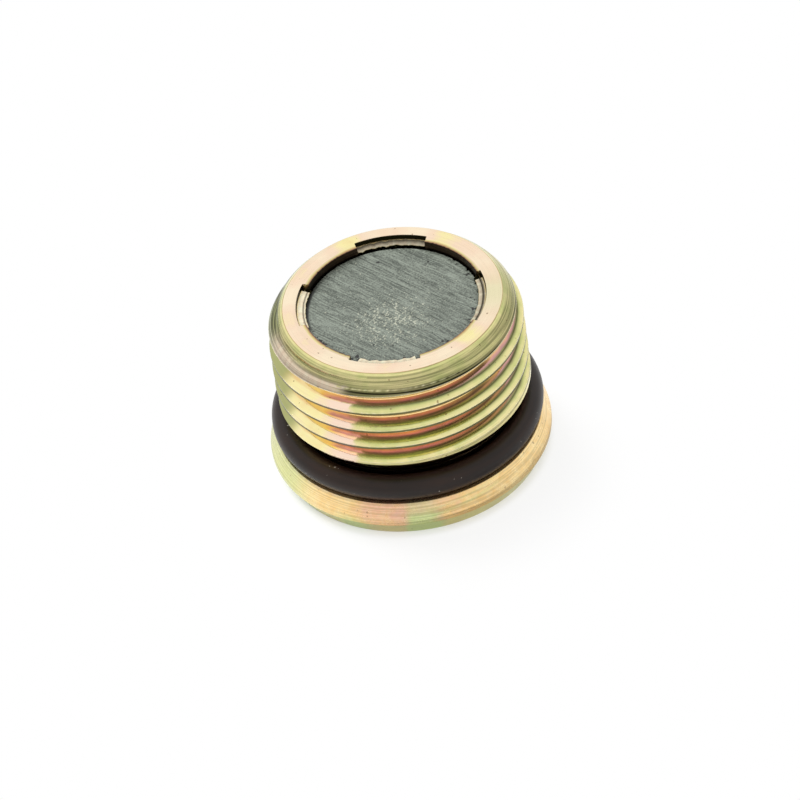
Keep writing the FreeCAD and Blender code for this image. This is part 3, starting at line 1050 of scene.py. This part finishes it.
@dataclass(frozen=True)
class PlatedSteel:
    """Yellow chromate over zinc on turned and rolled steel, with tool lines."""

    films: tuple[tuple[float, Colour], ...] = (
        (0.00, linear(254, 236, 206)),
        (0.12, linear(251, 224, 196)),
        (0.24, linear(252, 240, 176)),
        (0.36, linear(244, 216, 156)),
        (0.46, linear(236, 196, 128)),
        (0.58, linear(228, 176, 146)),
        (0.67, linear(200, 150, 148)),
        (0.77, linear(170, 148, 118)),
        (0.89, linear(204, 208, 136)),
        (1.00, linear(238, 226, 164)),
    )
    pale_wear_and_painted_highlight: Colour = linear(244, 238, 208)
    # Dark colour for tool marks and for painted shade in the socket, under the seal ring, on the thread's
    # undersides and crests, on the lead cone, at the far left and on the stake ledges.
    marks_and_painted_shade: Colour = linear(34, 33, 18)
    freckle: Colour = linear(120, 84, 54)
    # Cream for the left flanks and the lower left of the lead: film colour with painted reflection and
    # highlight.
    cream: Colour = linear(252, 224, 202)
    moss: Colour = linear(192, 206, 138)

    def material(self) -> bpy.types.Material:
        """The material: film colour by the mesh's values and noise, tool lines in bump."""
        made = bpy.data.materials.new("plated_steel_look")
        made.use_nodes = True
        shader = Shader(made.node_tree)
        at = turned_places(shader)
        film, wear_and_painted_highlight = shader.attribute("film"), shader.attribute("wear_and_painted_highlight")
        marks_and_painted_shade, satin = shader.attribute("marks_and_painted_shade"), shader.attribute("satin")
        tool = shader.attribute("tool")
        broad = shader.noise(at.place, 260.0, 3.0)
        small = shader.noise(at.place, 1400.0, 3.0)
        turned = shader.vector(at.radius * 9000.0, at.z * 9000.0, at.x * 160.0 + at.y * 120.0)
        lines = shader.noise(turned, 1.0, 2.0)
        shade = film + (broad - 0.5) * 0.28 + (small - 0.5) * 0.16 + (lines - 0.5) * 0.08
        tint = shader.ramp(shade, self.films)
        # Cream from the mesh's values: film colour with painted reflection and highlight.
        tint = shader.blend(shader.attribute("cream"), tint, rgba(self.cream))
        tint = shader.blend(shader.attribute("moss"), tint, rgba(self.moss))
        spots = shader.noise(at.place, 2600.0, 1.0).between(0.735, 0.78)
        tint = shader.blend(spots * 0.6, tint, rgba(self.freckle))
        # Pale, less metallic patches from the mesh's values: worn plating, and painted highlights on crest
        # lips, edges and the lead cone.
        broken = wear_and_painted_highlight * (0.55 + 0.9 * shader.noise(at.place, 4200.0, 1.0).between(0.42, 0.60))
        tint = shader.blend(broken, tint, rgba(self.pale_wear_and_painted_highlight))
        grooves = lines.between(0.62, 0.38) * tool
        # Darkening from the mesh's values: painted shade plus tool marks, and dark tool grooves.
        tint = shader.blend(marks_and_painted_shade + grooves * 0.35, tint, rgba(self.marks_and_painted_shade))
        bent = shader.bump(lines * (tool + 0.08), 0.6, 6e-6)
        bent = shader.bump(shader.noise(at.place, 3500.0, 3.0) * satin, 0.8, 8e-6, bent)
        rough = satin + (small - 0.5) * 0.10 + marks_and_painted_shade * 0.1 + wear_and_painted_highlight * 0.2 + tool * 0.06
        surface = shader.node("ShaderNodeBsdfPrincipled", None, {
            "Base Color": tint, "Metallic": 1.0 - wear_and_painted_highlight * 0.75, "Roughness": rough, "Normal": bent,
        })
        shader.node("ShaderNodeOutputMaterial", None, {"Surface": shader.term(surface)})
        return made


@dataclass(frozen=True)
class Ferrite:
    """Ground ferrite: grey-green and matte, with grinding lines, bright specks and dark chips."""

    body: Colour = linear(131, 138, 127)
    dark: Colour = linear(60, 65, 58)
    speck: Colour = linear(192, 193, 172)
    chip: Colour = linear(22, 22, 20)
    line_angle: float = -46.0
    speck_centre: tuple[float, float] = (-0.4, -1.6)

    def material(self) -> bpy.types.Material:
        """The material: lines along one direction and specks gathered at the disc's middle."""
        made = bpy.data.materials.new("ferrite_look")
        made.use_nodes = True
        shader = Shader(made.node_tree)
        at = turned_places(shader)
        turn = math.radians(self.line_angle)
        along = at.x * math.cos(turn) + at.y * math.sin(turn)
        across = at.y * math.cos(turn) - at.x * math.sin(turn)
        wander = shader.noise(at.place, 300.0, 2.0) * 0.0004
        fine = shader.noise(shader.vector(along * 500.0, (across + wander) * 9000.0, 0.0), 1.0, 3.0, 0.6)
        broad = shader.noise(shader.vector(along * 150.0, (across + wander) * 1600.0, 0.0), 1.0, 3.0)
        grain = shader.noise(at.place, 9000.0, 2.0, 0.7)
        tone = (fine - 0.5) * 1.4 + (broad - 0.5) * 0.7 + (grain - 0.5) * 1.2 + 0.5
        tint = shader.blend(tone.between(0.1, 0.9), rgba(self.dark), rgba(self.body))
        off_x, off_y = at.x - self.speck_centre[0] * MM, at.y - self.speck_centre[1] * MM
        gathered = ((off_x * off_x + off_y * off_y) ** 0.5).between(4.6 * MM, 0.4 * MM)
        crossed = shader.noise(shader.vector(across * 1700.0, along * 9000.0, 0.0), 1.0, 1.0)
        strokes = shader.noise(shader.vector(at.x * 9000.0, at.y * 1900.0, 0.5), 1.0, 1.0)
        fine_specks = shader.noise(at.place, 7500.0, 2.0, 0.6)
        specks = fine_specks * 0.55 + crossed * 0.25 + strokes * 0.20
        bright = (specks + gathered * 0.10).between(0.620, 0.675)
        tint = shader.blend(bright * 0.65, tint, rgba(self.speck))
        pits = shader.noise(at.place, 2600.0, 2.0)
        rim = at.radius.between(4.9 * MM, 6.1 * MM)
        side = (at.x * 0.8 - at.y * 0.6).between(-1.0 * MM, 5.0 * MM) \
            + (at.x * -0.6 - at.y * 0.8).between(3.0 * MM, 5.5 * MM)
        dark = (pits + rim * side * 0.14).between(0.70, 0.75) * at.radius.between(1.0 * MM, 5.0 * MM)
        tint = shader.blend(dark, tint, rgba(self.chip))
        # Chip colour from the mesh's values: dark chips, and painted shade along the disc's left edge.
        tint = shader.blend(shader.attribute("marks_and_painted_shade"), tint, rgba(self.chip))
        bent = shader.bump(fine * 0.7 + grain * 0.3, 0.4, 8e-6)
        surface = shader.node("ShaderNodeBsdfPrincipled", None, {
            "Base Color": tint, "Metallic": 0.0, "Roughness": 0.5 + (grain - 0.5) * 0.3,
            "Normal": bent, "Specular IOR Level": 0.6,
        })
        shader.node("ShaderNodeOutputMaterial", None, {"Surface": shader.term(surface)})
        return made


@dataclass(frozen=True)
class SealRubber:
    """Brown moulded rubber with a soft gloss and a little dust."""

    body: Colour = linear(20, 12, 8)
    paler_tone: Colour = linear(35, 22, 15)
    # Paler brown for the painted highlight on the ring's lower half.
    pale: Colour = linear(52, 36, 27)
    dust: Colour = linear(170, 165, 155)

    def material(self) -> bpy.types.Material:
        """The material: brown with broad variation, faint lines along the ring and dust specks."""
        made = bpy.data.materials.new("seal_rubber_look")
        made.use_nodes = True
        shader = Shader(made.node_tree)
        at = turned_places(shader)
        broad = shader.noise(at.place, 320.0, 3.0)
        lines = shader.noise(shader.vector(at.radius * 4000.0, at.z * 4000.0, at.x * 100.0), 1.0, 2.0)
        tint = shader.blend((broad * 0.6 + lines * 0.4).between(0.35, 0.7), rgba(self.body), rgba(self.paler_tone))
        # Painted highlight: the lower half of the ring is blended towards a paler brown.
        tint = shader.blend(at.z.between(3.75 * MM, 3.25 * MM) * 0.8, tint, rgba(self.pale))
        dust = shader.noise(at.place, 4200.0, 1.0).between(0.775, 0.80)
        tint = shader.blend(dust * 0.7, tint, rgba(self.dust))
        bent = shader.bump(lines * 0.5 + shader.noise(at.place, 2500.0, 2.0) * 0.5, 0.2, 8e-6)
        surface = shader.node("ShaderNodeBsdfPrincipled", None, {
            "Base Color": tint, "Roughness": 0.40 + (broad - 0.5) * 0.2, "Normal": bent,
            "Specular IOR Level": 0.30,
        })
        shader.node("ShaderNodeOutputMaterial", None, {"Surface": shader.term(surface)})
        return made


@dataclass(frozen=True)
class Camera:
    """The photograph's camera, found from the plug's round edges and crest lines."""

    focal_pixels: float = 6891.83
    frame_pixels: float = 800.0
    distance: float = 0.48902
    elevation: float = 41.7792
    roll: float = -8.4407
    pan: float = -0.1113
    tilt: float = 0.3505
    sensor: float = 36.0

    def build(self) -> bpy.types.Object:
        """Make the camera: it looks at the origin, then pans, tilts and rolls a little."""
        rise = math.radians(self.elevation)
        place = np.array([0.0, -math.cos(rise), math.sin(rise)]) * self.distance
        forward = -place / np.linalg.norm(place)
        right = np.array([1.0, 0.0, 0.0])
        rows = np.stack([right, np.cross(right, forward), forward])
        turns = [math.radians(v) for v in (self.roll, self.pan, self.tilt)]
        (cr, cp, ct), (sr, sp, st) = np.cos(turns), np.sin(turns)
        rolled = np.array([[cr, sr, 0], [-sr, cr, 0], [0, 0, 1]])
        panned = np.array([[cp, 0, -sp], [0, 1, 0], [sp, 0, cp]])
        tilted = np.array([[1, 0, 0], [0, ct, -st], [0, st, ct]])
        axes = tilted @ panned @ rolled @ rows
        data = bpy.data.cameras.new("camera")
        data.sensor_width = self.sensor
        data.lens = self.focal_pixels / self.frame_pixels * self.sensor
        data.clip_start, data.clip_end = 0.01, 10.0
        camera = bpy.data.objects.new("camera", data)
        turn = Matrix((axes[0], axes[1], -axes[2])).transposed().to_4x4()
        camera.matrix_world = Matrix.Translation(Vector(place)) @ turn
        bpy.context.scene.collection.objects.link(camera)
        bpy.context.scene.camera = camera
        return camera


@dataclass
class Studio:
    """Pale floor, soft lamps, and the white background that the metal reflects too."""

    floor_radius: float = 0.6

    def floor(self) -> bpy.types.Object:
        """A pale floor: lit and shaded near the plug, and the white of the background further out."""
        turn = np.arange(64) * TURN / 64
        radii = np.array([0.0, 0.02, 0.05, 0.1, 0.3, self.floor_radius])[::-1, None] / MM
        skin = Skin()
        skin.add_grid(around(radii, 0.0, turn[None, :]), np.zeros((6, 64, len(Skin.VALUES))))
        thing = skin.to_object("floor", math.radians(60))
        made = bpy.data.materials.new("floor")
        made.use_nodes = True
        made.cycles.emission_sampling = "NONE"
        shader = Shader(made.node_tree)
        at = turned_places(shader)
        path = shader.node("ShaderNodeLightPath")
        camera = shader.term(path, "Is Camera Ray")
        mirrored = shader.term(path, "Is Glossy Ray") + shader.term(path, "Is Transmission Ray")
        near = 0.35 + 0.46 * at.radius.between(9.3 * MM, 10.2 * MM) \
            + 0.19 * at.radius.between(9 * MM, 18 * MM)
        share = camera * near + mirrored * at.radius.between(40 * MM, 90 * MM)
        plain = shader.node("ShaderNodeBsdfDiffuse", None, {"Color": (0.86, 0.86, 0.86, 1)})
        white = shader.node("ShaderNodeEmission", None, {"Color": (1, 1, 1, 1), "Strength": 1.0})
        mixed = shader.node("ShaderNodeMixShader", None,
                            {0: share, 1: shader.term(plain), 2: shader.term(white)})
        shader.node("ShaderNodeOutputMaterial", None, {"Surface": shader.term(mixed)})
        thing.data.materials.append(made)
        return thing

    def world(self) -> None:
        """White where the camera, mirrors and glass look past the floor, and soft fill elsewhere."""
        world = bpy.data.worlds.new("studio")
        bpy.context.scene.world = world
        world.use_nodes = True
        shader = Shader(world.node_tree)
        path = shader.node("ShaderNodeLightPath")
        seen = shader.term(path, "Is Camera Ray") + shader.term(path, "Is Glossy Ray") \
            + shader.term(path, "Is Transmission Ray")
        level = seen.between(0.0, 1.0) * 0.65 + 0.35
        back = shader.node("ShaderNodeBackground", None, {"Color": (1, 1, 1, 1), "Strength": level})
        shader.node("ShaderNodeOutputWorld", None, {"Surface": shader.term(back)})

    def lamp(self, name: str, place: Colour, size: float, power: float) -> None:
        """A soft square lamp that faces the plug and shows in no reflection."""
        data = bpy.data.lights.new(name, "AREA")
        data.shape = "SQUARE"
        data.size = size
        data.energy = power
        thing = bpy.data.objects.new(name, data)
        thing.location = place
        thing.rotation_mode = "QUATERNION"
        thing.rotation_quaternion = (-Vector(place)).to_track_quat("-Z", "Y")
        thing.visible_glossy = False
        bpy.context.scene.collection.objects.link(thing)

    def build(self) -> None:
        """Set up the world, floor and lamps."""
        self.world()
        self.floor()
        self.lamp("key_behind_left", (-0.22, 0.26, 0.36), 0.30, 2.9)
        self.lamp("fill_front", (0.12, -0.40, 0.30), 0.30, 1.7)
        view = bpy.context.scene.view_settings
        view.view_transform = "Standard"


def main() -> None:
    """Build the pieces, the camera and the studio."""
    logging.basicConfig(level=logging.INFO, format="%(name)s: %(message)s")
    Camera().build()
    for maker in (PlugBody(), Disc(), SealRing()):
        thing = maker.build()
        triangles = sum(len(p.vertices) - 2 for p in thing.data.polygons)
        LOG.info("%s: %d points, %d triangles", thing.name, len(thing.data.vertices), triangles)
    Studio().build()


if __name__ == "__main__":
    main()
